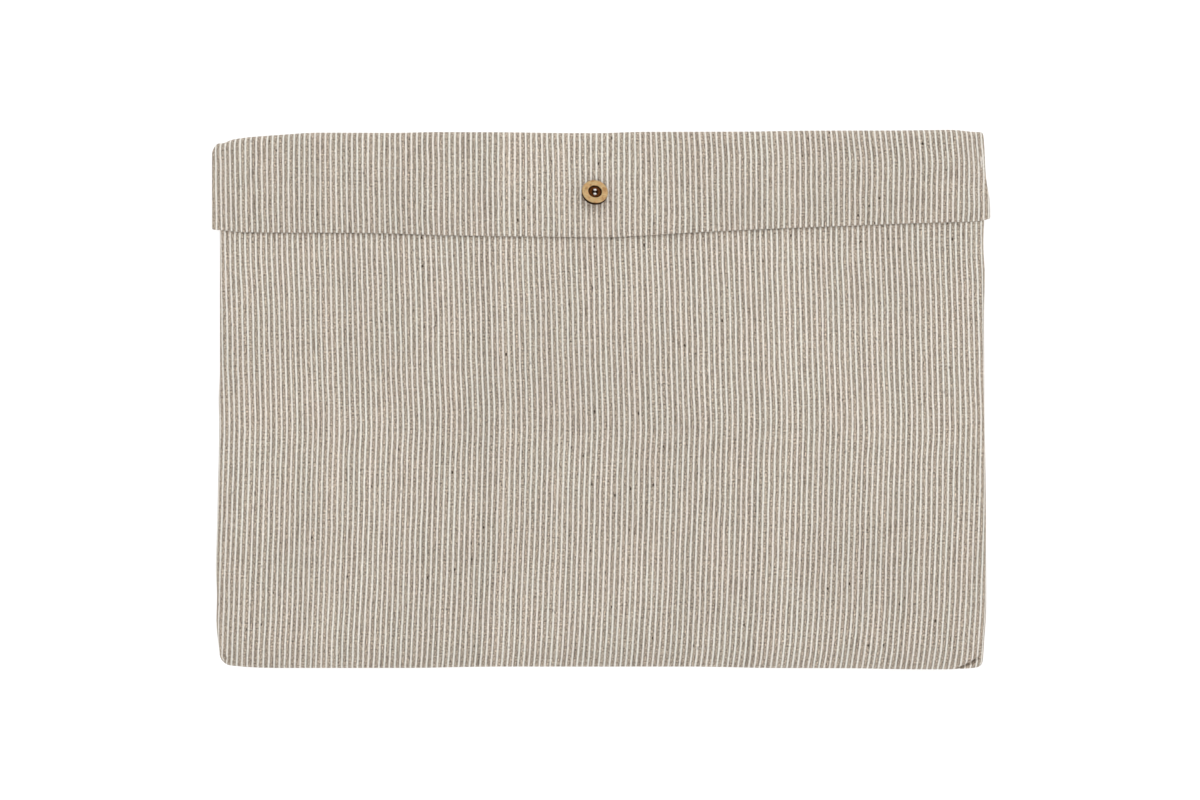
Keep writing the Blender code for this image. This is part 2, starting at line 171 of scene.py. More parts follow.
def smooth(t):
    """A smooth step from 0 to 1."""
    t = np.clip(t, 0.0, 1.0)
    return t * t * (3 - 2 * t)


def hump(distance, width):
    """A smooth bump of height 1 round distance 0."""
    return np.exp(-((distance / width) ** 2))


def through(points, at):
    """A smooth curve through a few points that never overshoots them, level beyond the first and last."""
    x, y = np.array(points).T
    secant = np.diff(y) / np.diff(x)
    product = secant[:-1] * secant[1:]
    total = np.where(product > 0, secant[:-1] + secant[1:], 1.0)
    slope = np.concatenate([secant[:1], np.where(product > 0, 2 * product / total, 0.0), secant[-1:]])
    at = np.clip(at, x[0], x[-1])
    i = np.clip(np.searchsorted(x, at) - 1, 0, len(x) - 2)
    width = x[i + 1] - x[i]
    t = (at - x[i]) / width
    blend = smooth(t)
    bend = slope[i] * t * (1 - t) ** 2 - slope[i + 1] * t**2 * (1 - t)
    return y[i] * (1 - blend) + y[i + 1] * blend + bend * width


def waves(x, y, seed, length, count=7):
    """A gentle uneven surface between about -1 and 1, with waves of roughly this length."""
    pick = np.random.RandomState(seed)
    total = np.zeros(np.broadcast(x, y).shape)
    for _ in range(count):
        angle = pick.uniform(0, math.pi)
        k = 2 * math.pi / (length * pick.uniform(0.7, 1.6))
        total += np.sin(k * (x * math.cos(angle) + y * math.sin(angle)) + pick.uniform(0, 2 * math.pi))
    return total / math.sqrt(count) / 1.4


def spaced(start, end, step):
    """Evenly spaced places from start to end, no further apart than step."""
    return np.linspace(start, end, max(2, int(math.ceil(abs(end - start) / step)) + 1))


# Places along the cloth from a seam, close together where it curves
EDGE_STEPS = np.concatenate([[0.0, 0.0005], spaced(0.0010, 0.0131, 0.00048), [0.0145, 0.0158, 0.0172]])


# The pouch


def side_profile(s, out):
    """(inset, height above the middle) at s along the cloth from the seam, this far outside the linen."""
    rim = np.clip(s / RIM_RADIUS, 0, TURN)
    slope = np.clip(s - RIM_LENGTH, 0, SLOPE_LENGTH)
    shoulder = np.clip((s - RIM_LENGTH - SLOPE_LENGTH) / SHOULDER_RADIUS, 0, SIDE_SLOPE)
    inset = (
        RIM_RADIUS * (1 - np.cos(rim))
        + slope * math.cos(SIDE_SLOPE)
        + SHOULDER_RADIUS * (math.sin(SIDE_SLOPE) - np.sin(SIDE_SLOPE - shoulder))
        + np.maximum(s - TO_FLAT, 0)
    )
    height = (
        RIM_RADIUS * np.sin(rim)
        + slope * math.sin(SIDE_SLOPE)
        + SHOULDER_RADIUS * (np.cos(SIDE_SLOPE - shoulder) - math.cos(SIDE_SLOPE))
    )
    tilt = math.pi / 2 - rim - shoulder
    seam_dip = 0.0008 * hump(s, 0.0007)
    return inset - out * np.sin(tilt) + seam_dip, height + out * np.cos(tilt)


def pouch_point(sign, sx, sy, out, side):
    """Points of the pouch's front (side 1) or back (side -1), sx and sy along the cloth from its seams."""
    inset_x, height_x = side_profile(sx, out)
    inset_y, height_y = side_profile(sy, out)
    radius = np.where(sign < 0, LEFT_CORNER, RIGHT_CORNER)
    px = np.maximum(radius - inset_x, 0)
    py = np.maximum(radius - inset_y, 0)
    both = (px > 0) & (py > 0)
    pull = np.where(both, np.maximum(px, py) / np.maximum(np.hypot(px, py), 1e-9), 1.0)
    inset_x = np.where(both, radius - px * pull, inset_x)
    inset_y = np.where(both, radius - py * pull, inset_y)
    # Where the side's slope meets the bottom's, the ridge between them is rounded
    low = np.minimum(height_x, height_y)
    room = 0.35 * np.abs(low) + 1e-6
    near = np.clip(1 - np.abs(height_x - height_y) / room, 0, 1)
    height = low - near**2 * room / 4
    return np.stack([sign * (HALF_WIDTH - inset_x), BOTTOM_Y + inset_y, MID_Z + side * height], -1)


def half_height(x, rise):
    """Height above the middle at x of a face this far outside the linen, its side slopes carried on."""
    shoulder = SHOULDER_RADIUS + rise
    across = np.maximum(SHOULDER_INSET - (HALF_WIDTH - np.abs(x)), 0)
    turn = np.minimum(across, shoulder * math.sin(SIDE_SLOPE))
    top = MID_Z - SHOULDER_RADIUS + np.sqrt(shoulder**2 - turn**2)
    return top - (across - turn) * math.tan(SIDE_SLOPE)


def side_columns():
    """(sign, cloth distance from the nearer side seam) of each column, from -X to +X."""
    middle = TO_FLAT + HALF_WIDTH - SHOULDER_INSET
    half = np.concatenate([EDGE_STEPS, spaced(TO_FLAT, middle, STEP)])
    sign = np.concatenate([-np.ones(len(half)), np.ones(len(half) - 1)])
    return sign, np.concatenate([half, half[-2::-1]])


def bottom_rows(end_y):
    return np.concatenate([EDGE_STEPS, spaced(TO_FLAT, TO_FLAT + end_y - BOTTOM_Y - SHOULDER_INSET, STEP)])


def across_cloth(sign, s):
    """The cloth's own position across the pouch: even from above, and along the cloth round the rim."""
    inset, _ = side_profile(np.maximum(s, RIM_LENGTH), 0.0)
    return sign * (HALF_WIDTH - inset + np.maximum(RIM_LENGTH - s, 0))


# The fold and flap


def flap_rise(x, y=None):
    """How far the flap's face stands above the front panel's, thinner toward its edges."""
    inset = FLAP_HALF - np.abs(x)
    if y is not None:
        inset = np.minimum(inset, y - edge_y(x))
    return THIN_EDGE + (FLAP_RISE - THIN_EDGE) * smooth(inset / FLAP_TAPER)


def edge_y(x):
    """The flap's lower edge on its pattern; settle() then gives it the sewn shape."""
    return FLAP_EDGE_Y + 0.0045 * (x / FLAP_HALF) ** 2


def bend_radius(x):
    """Radius of the two bends, tighter toward the fold's thin ends."""
    tall = half_height(x, 0.0) + half_height(x, flap_rise(x))
    return np.minimum(BEND_RADIUS, tall / 2 - 0.0003)


def bend_point(x, depth, angle, side):
    """Upper (side 1) or lower (side -1) bend of the fold, turned from facing +Y (0) to facing up or down."""
    radius = bend_radius(x)
    reach = radius - depth
    top = half_height(x, flap_rise(x) if side > 0 else 0.0)
    y = FOLD_Y - radius + reach * np.cos(angle)
    z = side * (top - radius + reach * np.sin(angle))
    return np.stack(np.broadcast_arrays(x, y, MID_Z + z), -1)


def spine_middle(x, depth):
    """Half-way up the fold's outside."""
    upper = bend_point(x, depth, 0.0, 1)
    lower = bend_point(x, depth, 0.0, -1)
    return (upper + lower) / 2


def hem_columns(margin, hem):
    """(x, share of the way under the edge) of each column across the flap, hems first and last."""
    reach = FLAP_HALF - margin
    half = STEP * np.arange(int((HALF_WIDTH - SHOULDER_INSET) / STEP) + 1)
    half = np.concatenate([half, spaced(HALF_WIDTH - SHOULDER_INSET + 0.001, reach - 0.0014, 0.0019)])
    under = np.zeros(len(half))
    if hem:
        half = np.concatenate([half, [reach - 0.0005, reach - 0.0001, reach, reach - 0.0001, reach - 0.0006]])
        half = np.concatenate([half, [reach - 0.002, reach - 0.004, reach - hem]])
        under = np.concatenate([under, [0.06, 0.25, 0.5, 0.75, 0.95, 1.0, 1.0, 1.0]])
    else:
        half = np.append(half, reach)
        under = np.append(under, 0.0)
    return np.concatenate([-half[:0:-1], half]), np.concatenate([under[:0:-1], under])


def along_cloth(points):
    """How far along the cloth each row is, down its middle column."""
    column = points[:, points.shape[1] // 2]
    return np.concatenate([[0.0], np.cumsum(np.linalg.norm(np.diff(column, axis=0), axis=1))])


def cloth_across(x, under):
    """Cloth position across a hemmed piece, carried on round the edge and under it."""
    steps = np.abs(np.diff(x))
    steps = np.where((under[1:] > 0) & (under[:-1] > 0), np.maximum(steps, 0.0004), steps)
    total = np.concatenate([[0.0], np.cumsum(steps)])
    return total - total[len(total) // 2]


# Settling: the sewn shape


def settle(points, flap):
    """Moves points to the shape that the sleeve has settled into; flap pieces have their own outline."""
    x, y, z = points[..., 0], points[..., 1], points[..., 2]
    at_fold = smooth((y - 0.088) / 0.044)
    at_bottom = smooth((-0.095 - y) / 0.038)
    dy = through(FOLD_SHIFT, x) * at_fold + through(BOTTOM_SHIFT, x) * at_bottom
    left = smooth((-x - 0.145) / 0.045)
    right = smooth((x - 0.145) / 0.045)
    if flap:
        at_edge = 1 - smooth((y - 0.082) / 0.03)
        dy = dy * (1 - at_edge) + (through(FLAP_EDGE, x) - edge_y(x)) * at_edge
        dx = through(LEFT_FLAP, y) * left + through(RIGHT_FLAP, y) * right
    else:
        past_mouth = smooth((y - 0.122) / 0.007)
        left_shift = through(LEFT_SIDE, y) * (1 - past_mouth) + LEFT_FLAP[-1][1] * past_mouth
        right_shift = through(RIGHT_SIDE, y) * (1 - past_mouth) + RIGHT_FLAP[-1][1] * past_mouth
        dx = left_shift * left + right_shift * right
    # The padded front is a little uneven, though not over the magnets, and its seams pucker
    upper = smooth((z - MID_Z) / 0.006)
    calm = 1 - np.exp(-(((x - MAGNET_X) ** 2 + (y - MAGNET_Y) ** 2) / 0.02**2))
    from_seams = smooth((HALF_WIDTH - np.abs(x)) / 0.03) * smooth((y - BOTTOM_Y) / 0.03)
    inner = from_seams * smooth((FOLD_Y - y) / 0.02)
    puff = 0.0003 * waves(x, y, 5, 0.07) + 0.00012 * waves(x, y, 8, 0.024)
    ripple = 0.00016 * waves(x, y, 9, 0.013) * (1 - inner) * smooth((z - MID_Z) / 0.004)
    dz = puff * upper * calm * inner + ripple
    return points + np.stack([dx, dy, dz], -1)


def ear_crease(points):
    """Presses the pinched crease into a front layer, with the low ridge beside it."""
    x, y = points[..., 0], points[..., 1]
    length = np.linalg.norm(CREASE_END - CREASE_START)
    along = (CREASE_END - CREASE_START) / length
    across = np.array([along[1], -along[0]])
    t = ((x - CREASE_START[0]) * along[0] + (y - CREASE_START[1]) * along[1]) / length
    bow = 0.0006 * np.sin(math.pi * t)
    d = (x - CREASE_START[0]) * across[0] + (y - CREASE_START[1]) * across[1] - bow
    here = smooth((t + 0.05) / 0.2) * smooth((1.1 - t) / 0.45)
    points[..., 2] += here * (-0.0034 * hump(d, 0.0007) + 0.0009 * hump(d + 0.0016, 0.0010))
    return points


# Making pieces


def wander(x, y, seed, drift):
    """Sideways drift of the stripes, as the cloth lies."""
    near_bottom = smooth((-0.100 - y) / 0.030)
    near_fold = smooth((y - 0.118) / 0.016) * smooth(x / 0.06)
    bulge = hump(y - 0.1155, 0.009) * smooth((x - 0.10) / 0.04)
    broad = through(DRIFT, y) - 0.0006 * near_bottom * smooth(x / 0.12) - 0.0007 * near_fold + 0.0004 * bulge
    fine = 0.00016 * waves(x, y, seed, 0.05) + 0.00007 * waves(x, y, seed + 1, 0.018)
    return broad + through(drift, x) + fine


def link(name, mesh, material):
    """Puts a finished mesh into the scene as a piece."""
    mesh.shade_smooth()
    mesh.materials.append(material)
    piece = bpy.data.objects.new(name, mesh)
    bpy.context.scene.collection.objects.link(piece)
    return piece


def cloth_piece(
    name, points, across, along, material, seed, thickness,
    flip=False, keep=None, flap=False, drift=FLAP_DRIFT,
):
    """A grid of cloth with its UV map in metres, thickened inward.

    across and along are each point's own place on the cloth, and keep says which grid cells are there.
    """
    rows, columns = points.shape[:2]
    index = np.arange(rows * columns).reshape(rows, columns)
    quads = np.stack([index[:-1, :-1], index[:-1, 1:], index[1:, 1:], index[1:, :-1]], -1)
    quads = quads[keep] if keep is not None else quads.reshape(-1, 4)
    if flip:
        quads = quads[:, ::-1]
    used = np.unique(quads)
    renumber = np.zeros(rows * columns, int)
    renumber[used] = np.arange(len(used))
    settled = settle(points, flap)[..., 0] - points[..., 0]
    wandered = wander(points[..., 0], points[..., 1], seed, drift)
    u = np.broadcast_to(across, (rows, columns)) + settled - wandered
    v = np.broadcast_to(np.asarray(along)[:, None], (rows, columns))
    uv = np.stack([u, v], -1).reshape(-1, 2)[used]
    mesh = bpy.data.meshes.new(name)
    mesh.from_pydata(points.reshape(-1, 3)[used].tolist(), [], renumber[quads].tolist())
    layer = mesh.uv_layers.new(name="cloth")
    corners = np.empty(len(mesh.loops), np.int32)
    mesh.loops.foreach_get("vertex_index", corners)
    layer.data.foreach_set("uv", uv[corners].astype(np.float32).ravel())
    piece = link(name, mesh, material)
    # A cut edge is sharp, so that the face isn't shaded round onto the thickness
    sides = np.empty(len(mesh.loops), np.int32)
    mesh.loops.foreach_get("edge_index", sides)
    mesh.edges.foreach_set("use_edge_sharp", np.bincount(sides, minlength=len(mesh.edges)) == 1)
    solid = piece.modifiers.new("cloth thickness", "SOLIDIFY")
    solid.thickness = thickness
    solid.offset = -1.0
    return piece


def settle_piece(piece, flap, crease=False):
    """Settles a piece's vertices where they are."""
    mesh = piece.data
    points = np.empty(len(mesh.vertices) * 3)
    mesh.vertices.foreach_get("co", points)
    points = settle(points.reshape(-1, 3), flap)
    if crease:
        points = ear_crease(points)
    mesh.vertices.foreach_set("co", points.ravel())
    mesh.update()


def clear_of_magnet(points, radius):
    """Which grid cells keep clear of a magnet's recess."""
    middle = (points[:-1, :-1] + points[1:, 1:]) / 2
    return np.hypot(middle[..., 0] - MAGNET_X, middle[..., 1] - MAGNET_Y) > radius


# Materials


class Maths:
    """A material's nodes under short names. Values may be numbers, colours or sockets."""

    def __init__(self, name):
        self.material = bpy.data.materials.new(name)
        self.material.use_nodes = True
        self.nodes = self.material.node_tree.nodes
        self.links = self.material.node_tree.links
        self.shader = self.nodes["Principled BSDF"]

    def give(self, socket, value):
        if isinstance(value, bpy.types.NodeSocket):
            self.links.new(value, socket)
        else:
            socket.default_value = value

    def node(self, kind, *values, **settings):
        made = self.nodes.new(kind)
        for key, value in settings.items():
            setattr(made, key, value)
        for socket, value in zip(made.inputs, values):
            self.give(socket, value)
        return made

    def math(self, operation, *values):
        return self.node("ShaderNodeMath", *values, operation=operation).outputs[0]

    def add(self, a, b):
        return self.math("ADD", a, b)

    def mul(self, a, b):
        return self.math("MULTIPLY", a, b)

    def less(self, a, b):
        return self.add(a, self.mul(b, -1.0))

    def centred(self, value, spread):
        """Turns 0 to 1 into minus to plus half of spread."""
        return self.mul(self.add(value, -0.5), spread)

    def ramp(self, value, low, high, out_low=0.0, out_high=1.0):
        """A smooth step in value, from low to high."""
        ends = (low, high, out_low, out_high)
        return self.node("ShaderNodeMapRange", value, *ends, interpolation_type="SMOOTHSTEP").outputs[0]

    def point(self, x, y, z=0.0):
        return self.node("ShaderNodeCombineXYZ", x, y, z).outputs[0]

    def noise(self, vector, scale=1.0, detail=2.0):
        made = self.node("ShaderNodeTexNoise", vector)
        made.inputs["Scale"].default_value = scale
        made.inputs["Detail"].default_value = detail
        return made.outputs["Fac"]

    def streaks(self, x, y, x_scale, y_scale, z=0.0, detail=2.0):
        """Noise stretched along x and y, at a place of its own in z."""
        return self.noise(self.point(self.mul(x, x_scale), self.mul(y, y_scale), z), 1.0, detail)

    def random(self, vector):
        return self.node("ShaderNodeTexWhiteNoise", vector, noise_dimensions="3D").outputs["Value"]

    def mix(self, share, a, b, mode="MIX"):
        made = self.node("ShaderNodeMix", data_type="RGBA", blend_type=mode)
        self.give(made.inputs["Factor"], share)
        for socket, colour in ((made.inputs[6], a), (made.inputs[7], b)):
            self.give(socket, (*colour, 1.0) if isinstance(colour, tuple) else colour)
        return made.outputs[2]

    def shaded(self, colour, tone):
        """A colour made lighter or darker by a tone round 1."""
        grey = self.node("ShaderNodeCombineColor", tone, tone, tone).outputs[0]
        return self.mix(1.0, colour, grey, "MULTIPLY")

    def cloth_uv(self):
        return self.node("ShaderNodeUVMap", uv_map="cloth").outputs[0]

    def place(self):
        return self.nodes.new("ShaderNodeTexCoord").outputs["Object"]

    def surface(self, **inputs):
        """Sets the shader's inputs, named with _ for each space."""
        for key, value in inputs.items():
            self.give(self.shader.inputs[key.replace("_", " ")], value)

    def bump(self, height, distance, strength=1.0):
        made = self.node("ShaderNodeBump")
        made.inputs["Strength"].default_value = strength
        made.inputs["Distance"].default_value = distance
        self.links.new(height, made.inputs["Height"])
        self.links.new(made.outputs[0], self.shader.inputs["Normal"])


TAUPE = (0.378, 0.312, 0.248)
OFF_WHITE = (0.850, 0.815, 0.750)
WEFT = (0.480, 0.410, 0.338)
DARK_SLUB = (0.13, 0.095, 0.068)
BROWN_FLECK = (0.045, 0.026, 0.016)


def linen_material(name, striped):
    """Plain-weave linen, its warp along V: taupe and off-white stripes, or one natural tone."""
    m = Maths(name)
    split = m.node("ShaderNodeSeparateXYZ", m.cloth_uv())
    u0, v0 = split.outputs[0], split.outputs[1]
    # Threads wander a little from straight
    u = m.add(u0, m.centred(m.streaks(u0, v0, 160.0, 70.0, 0.0, 1.0), 0.00042))
    v = m.add(v0, m.centred(m.streaks(u0, v0, 70.0, 160.0, 4.0, 1.0), 0.0004))
    warp, weft = m.mul(u, 1 / WARP_PITCH), m.mul(v, 1 / WEFT_PITCH)
    warp_number, weft_number = m.math("FLOOR", warp), m.math("FLOOR", weft)
    # Each yarn has its own tone, which drifts along it
    warp_tone = m.random(m.point(warp_number, 3.0))
    warp_drift = m.streaks(warp_number, v, 7.31, 120.0, 0.0, 3.0)
    warp_short = m.streaks(warp_number, v, 3.97, 520.0)
    weft_tone = m.random(m.point(5.0, weft_number))
    weft_drift = m.streaks(u, weft_number, 90.0, 5.77, 0.0, 3.0)
    if striped:
        place = m.math("FRACT", m.mul(u, 1 / STRIPE))
        white = m.mul(m.ramp(place, 0.02, 0.09), m.ramp(place, 0.35, 0.42, 1.0, 0.0))
    else:
        white = m.mul(warp_tone, 0.25)

    def by_stripe(on_taupe, on_white):
        return m.ramp(white, 0.0, 1.0, on_taupe, on_white)

    tone = m.add(m.centred(warp_tone, 0.42), m.centred(warp_drift, 1.4))
    tone = m.add(tone, m.centred(warp_short, 1.5))
    warp_colour = m.mix(white, TAUPE, OFF_WHITE)
    warp_colour = m.shaded(warp_colour, m.add(m.mul(tone, by_stripe(1.0, 0.16)), 1.0))
    # Some runs are faintly pinkish or greenish
    hue = m.ramp(m.streaks(u, v, 130.0, 25.0, 11.0), 0.35, 0.65)
    tint = m.mix(hue, (1.015, 0.992, 0.985), (0.985, 1.006, 1.0))
    warp_colour = m.mix(1.0, warp_colour, tint, "MULTIPLY")
    tone = m.add(m.centred(weft_tone, 0.20), m.centred(weft_drift, 0.6))
    weft_colour = m.mix(m.mul(white, 0.85), WEFT, OFF_WHITE)
    weft_colour = m.shaded(weft_colour, m.add(m.mul(tone, by_stripe(1.0, 0.25)), 1.0))
    # Which yarn is on top, in a plain weave
    over = m.math("MODULO", m.math("ABSOLUTE", m.add(warp_number, weft_number)), 2.0)
    under = m.less(1.0, over)
    warp_round = m.math("SINE", m.mul(m.math("FRACT", warp), math.pi))
    weft_round = m.math("SINE", m.mul(m.math("FRACT", weft), math.pi))
    warp_height = m.mul(warp_round, m.add(0.55, m.mul(m.mul(over, weft_round), 0.45)))
    weft_height = m.mul(weft_round, m.add(0.50, m.mul(m.mul(under, warp_round), 0.45)))
    weft_shows = m.ramp(m.less(weft_height, warp_height), -0.06, 0.10)
    colour = m.mix(m.mul(weft_shows, 0.62), warp_colour, weft_colour)
    # Heathering, about as fine as the weave
    heather = m.add(m.streaks(u, v, 1500.0, 1150.0, 7.0, 1.0), -0.5)
    colour = m.shaded(colour, m.add(m.mul(heather, by_stripe(3.0 if striped else 1.5, 0.62)), 1.0))
    # Slubs: thick dark runs along the warp, pale ones along the weft
    dark, pale = m.streaks(u, v, 1150.0, 75.0, 9.0), m.streaks(u, v, 45.0, 1300.0, 2.0)
    colour = m.mix(m.mul(m.ramp(dark, 0.58, 0.72), m.ramp(white, 0.0, 0.6, 0.6, 0.05)), colour, DARK_SLUB)
    colour = m.mix(m.mul(m.ramp(pale, 0.60, 0.74), 0.26), colour, OFF_WHITE)
    # Broad unevenness of the dye
    colour = m.shaded(colour, m.ramp(m.streaks(u, v, 14.0, 11.0, 6.0, 3.0), 0.3, 0.7, 0.965, 1.035))
    # Brown flecks, in a few of many cells
    cells = m.node("ShaderNodeTexVoronoi", m.point(m.mul(u, 340.0), m.mul(v, 180.0)))
    cells.inputs["Scale"].default_value = 1.0
    chosen = m.random(cells.outputs["Color"])
    size = m.ramp(chosen, 0.72, 1.0, 0.03, 0.16)
    fleck = m.ramp(m.less(cells.outputs["Distance"], size), -0.03, 0.02, 1.0, 0.0)
    fleck = m.mul(fleck, m.ramp(chosen, 0.72, 0.84))
    colour = m.mix(m.mul(fleck, by_stripe(0.95, 0.35)), colour, BROWN_FLECK)
    m.surface(Base_Color=colour, Roughness=0.88, Specular_IOR_Level=0.22)
    m.surface(Sheen_Weight=0.12, Sheen_Roughness=0.5)
    height = m.math("MAXIMUM", warp_height, weft_height)
    height = m.add(height, m.mul(m.add(m.ramp(dark, 0.6, 0.8), m.ramp(pale, 0.6, 0.8)), 0.5))
    m.bump(m.add(height, m.mul(m.streaks(u, v, 4200.0, 4200.0), 0.35)), 0.00016, 0.55)
    return m.material


def felt_material(name, colour):
    """Matted fibres, for padding that hardly shows."""
    m = Maths(name)
    uv = m.cloth_uv()
    fibres, clumps = m.noise(uv, 900.0, 4.0), m.noise(uv, 120.0, 3.0)
    shade = m.ramp(m.add(m.mul(fibres, 0.6), m.mul(clumps, 0.4)), 0.3, 0.7)
    dull = tuple(c * 0.82 for c in colour)
    m.surface(Base_Color=m.mix(shade, dull, colour), Roughness=0.95)
    m.bump(fibres, 0.0003)
    return m.material


def thread_material(name):
    m = Maths(name)
    fibres = m.noise(m.place(), 6000.0, 3.0)
    colour = m.mix(m.ramp(fibres, 0.3, 0.7), (0.84, 0.81, 0.77), (0.96, 0.95, 0.93))
    m.surface(Base_Color=colour, Roughness=0.8, Sheen_Weight=0.3)
    m.bump(fibres, 0.00004)
    return m.material


def nickel_material(name):
    m = Maths(name)
    scuffs = m.noise(m.place(), 900.0, 4.0)
    colour = m.mix(m.ramp(scuffs, 0.4, 0.7), (0.64, 0.64, 0.65), (0.52, 0.52, 0.53))
    m.surface(Base_Color=colour, Roughness=m.ramp(scuffs, 0.3, 0.8, 0.22, 0.42), Metallic=1.0)
    return m.material


def wood_material(name):
    """Pale turned wood, scorched in the dish and round the edge. In millimetres from the button's middle."""
    m = Maths(name)
    scale = (1000.0, 1000.0, 1000.0)
    scaled = m.node("ShaderNodeVectorMath", m.place(), scale, operation="MULTIPLY").outputs[0]
    x, y, z = m.node("ShaderNodeSeparateXYZ", scaled).outputs
    radius = m.math("SQRT", m.add(m.mul(x, x), m.mul(y, y)))
    grain = m.streaks(x, y, 0.45, 3.6, m.mul(z, 1.5), 5.0)
    pores = m.streaks(x, y, 1.2, 16.0, m.mul(z, 3.0))
    blotch = m.streaks(x, y, 0.5, 0.5, 3.0)
    patch = m.streaks(x, y, 0.55, 0.55, 8.4, 1.0)
    colour = m.mix(m.ramp(grain, 0.35, 0.65), (0.50, 0.335, 0.152), (0.64, 0.455, 0.236))
    colour = m.mix(m.mul(m.ramp(blotch, 0.46, 0.62), 0.6), colour, (0.60, 0.330, 0.146))
    colour = m.mix(m.mul(m.ramp(patch, 0.60, 0.70), 0.6), colour, (0.34, 0.150, 0.045))
    colour = m.mix(m.mul(m.ramp(pores, 0.56, 0.70), 0.5), colour, (0.30, 0.165, 0.065))
    # Scorched: the dish, dark, the rim and the wall; the lighter ring on the dish's floor is painted
    # highlight
    reach = m.add(radius, m.centred(m.streaks(x, y, 1.4, 1.4, z), 0.5))
    dish = m.ramp(reach, 3.3, 3.6, 1.0, 0.0)
    edge = m.mul(m.ramp(reach, 6.1, 6.6), 0.35)
    wall = m.mul(m.ramp(z, 1.86, 2.06, 1.0, 0.0), m.ramp(radius, 5.6, 6.2))
    burnt = m.math("MAXIMUM", m.math("MAXIMUM", dish, edge), wall)
    turning = m.math("SINE", m.mul(radius, 14.0))
    # Painted highlight: a lighter ring on the dish's floor, where light would catch its rising slope
    ring = m.mul(m.ramp(reach, 1.3, 1.9), m.ramp(reach, 2.6, 3.05, 1.0, 0.0))
    ring = m.mul(ring, m.ramp(m.add(grain, m.mul(turning, 0.05)), 0.3, 0.6, 0.35, 1.0))
    scorch_and_painted_highlight = m.mix(m.mul(ring, m.ramp(z, 1.4, 1.5)), (0.016, 0.005, 0.001), (0.120, 0.034, 0.004))
    colour = m.mix(burnt, colour, scorch_and_painted_highlight)
    m.surface(Base_Color=colour, Roughness=m.ramp(burnt, 0.0, 1.0, 0.42, 0.50), Specular_IOR_Level=0.05)
    relief = m.add(m.mul(turning, m.mul(dish, 0.4)), m.add(grain, m.mul(pores, 0.6)))
    m.bump(relief, 0.00006, 0.6)
    return m.material


striped_linen = linen_material("striped_linen_weave", True)
plain_linen = linen_material("natural_linen_weave", False)
wadding_felt = felt_material("needled_wadding", (0.86, 0.85, 0.82))
fleece_felt = felt_material("fleece", (0.80, 0.79, 0.76))
thread = thread_material("cotton_strands")
nickel = nickel_material("nickel_plate")
wood = wood_material("turned_wood")


# Pouch pieces


def pouch_grid(side, out, rows):
    """(points, places across the cloth) of a whole front or back layer."""
    sign, s = side_columns()
    return pouch_point(sign[None, :], s[None, :], rows[:, None], out, side), across_cloth(sign, s)


def front_linen():
    """The front panel, its top edge turned over the padding into the pocket."""
    rows = bottom_rows(MOUTH_Y - MOUTH_ROUND)
    points, across = pouch_grid(1, 0.0, rows)
    sign, s = side_columns()
    turned_in = MOUTH_HEM - MOUTH_ROUND
    # Past the last row: how far up the pouch, how deep, and how much further along the cloth
    past = [
        (MOUTH_ROUND * math.sin(a), LINING_DEPTH / 2 * (1 - math.cos(a)), 0.0009)
        for a in (math.pi * i / 6 for i in range(1, 7))
    ]
    past += [(-turned_in * i / 3, LINING_DEPTH, turned_in / 3) for i in (1, 2, 3)]
    layers, along = [points], list(rows)
    for up, depth, further in past:
        layers.append(pouch_point(sign, s, np.full(len(s), rows[-1] + up), -depth, 1)[None])
        along.append(along[-1] + further)
    points = np.concatenate(layers)
    beside_back = 0.0011  # the front's stripes from the back's
    piece = cloth_piece(
        "linen_front", points, across + beside_back, along, striped_linen, 21, LINEN, drift=FRONT_DRIFT
    )
    settle_piece(piece, False, crease=True)
    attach(piece, "pouch")
    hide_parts("front_panel")


def fold_rows(points, x, under, depth, hem_depth, top_y, tuck):
    """Rows that carry a back layer from the mouth round the lower bend and up to the middle of the spine.

    A last row goes on behind the flap's layer, this much deeper, so that the two never gape.
    """
    d = depth + (hem_depth - depth) * under
    radius = bend_radius(x)
    made = []
    flat_z = MID_Z - half_height(x, -d)
    for t in (0.4, 1.0):
        y = top_y + (FOLD_Y - radius - top_y) * t
        made.append(np.stack([x, y, flat_z], -1))
    for i in range(1, BEND_STEPS + 1):
        made.append(bend_point(x, d, math.pi / 2 * (1 - i / BEND_STEPS), -1))
    low, middle = made[-1], spine_middle(x, d)
    for t in (0.34, 0.67, 1.0):
        made.append(low + (middle - low) * t)
    behind = spine_middle(x, d + tuck)
    made.append(behind + (bend_point(x, d + tuck, 0.0, 1) - behind) * 0.2)
    return np.concatenate([points, np.array(made)])


def back_layer(out, hem_depth, margin, ends_y):
    """A back layer from the bottom seam to the middle of the spine.

    Past the mouth its side edges are turned under where there is a hem_depth. Returns its points and their
    places across and along the cloth.
    """
    rows = bottom_rows(ends_y)
    sign, s = side_columns()
    points, across = pouch_grid(-1, out, rows)
    hemmed = hem_depth > 0
    x, under = fold_columns(sign, s, margin, hemmed)
    depth = -out if hemmed else FACING_DEPTH
    deep, tuck = (hem_depth, TUCK) if hemmed else (depth, -TUCK)
    points = fold_rows(points, x, under, depth, deep, ends_y, tuck)
    length = along_cloth(points)
    along = np.concatenate([rows, rows[-1] + length[len(rows):] - length[len(rows) - 1]])
    past = points[len(rows):, :, 0]
    turned = s < RIM_LENGTH
    past = np.where(turned, sign * (FLAP_HALF - margin + RIM_LENGTH - s), past)
    across = np.concatenate([np.broadcast_to(across, (len(rows), len(s))), past])
    return points, across, along


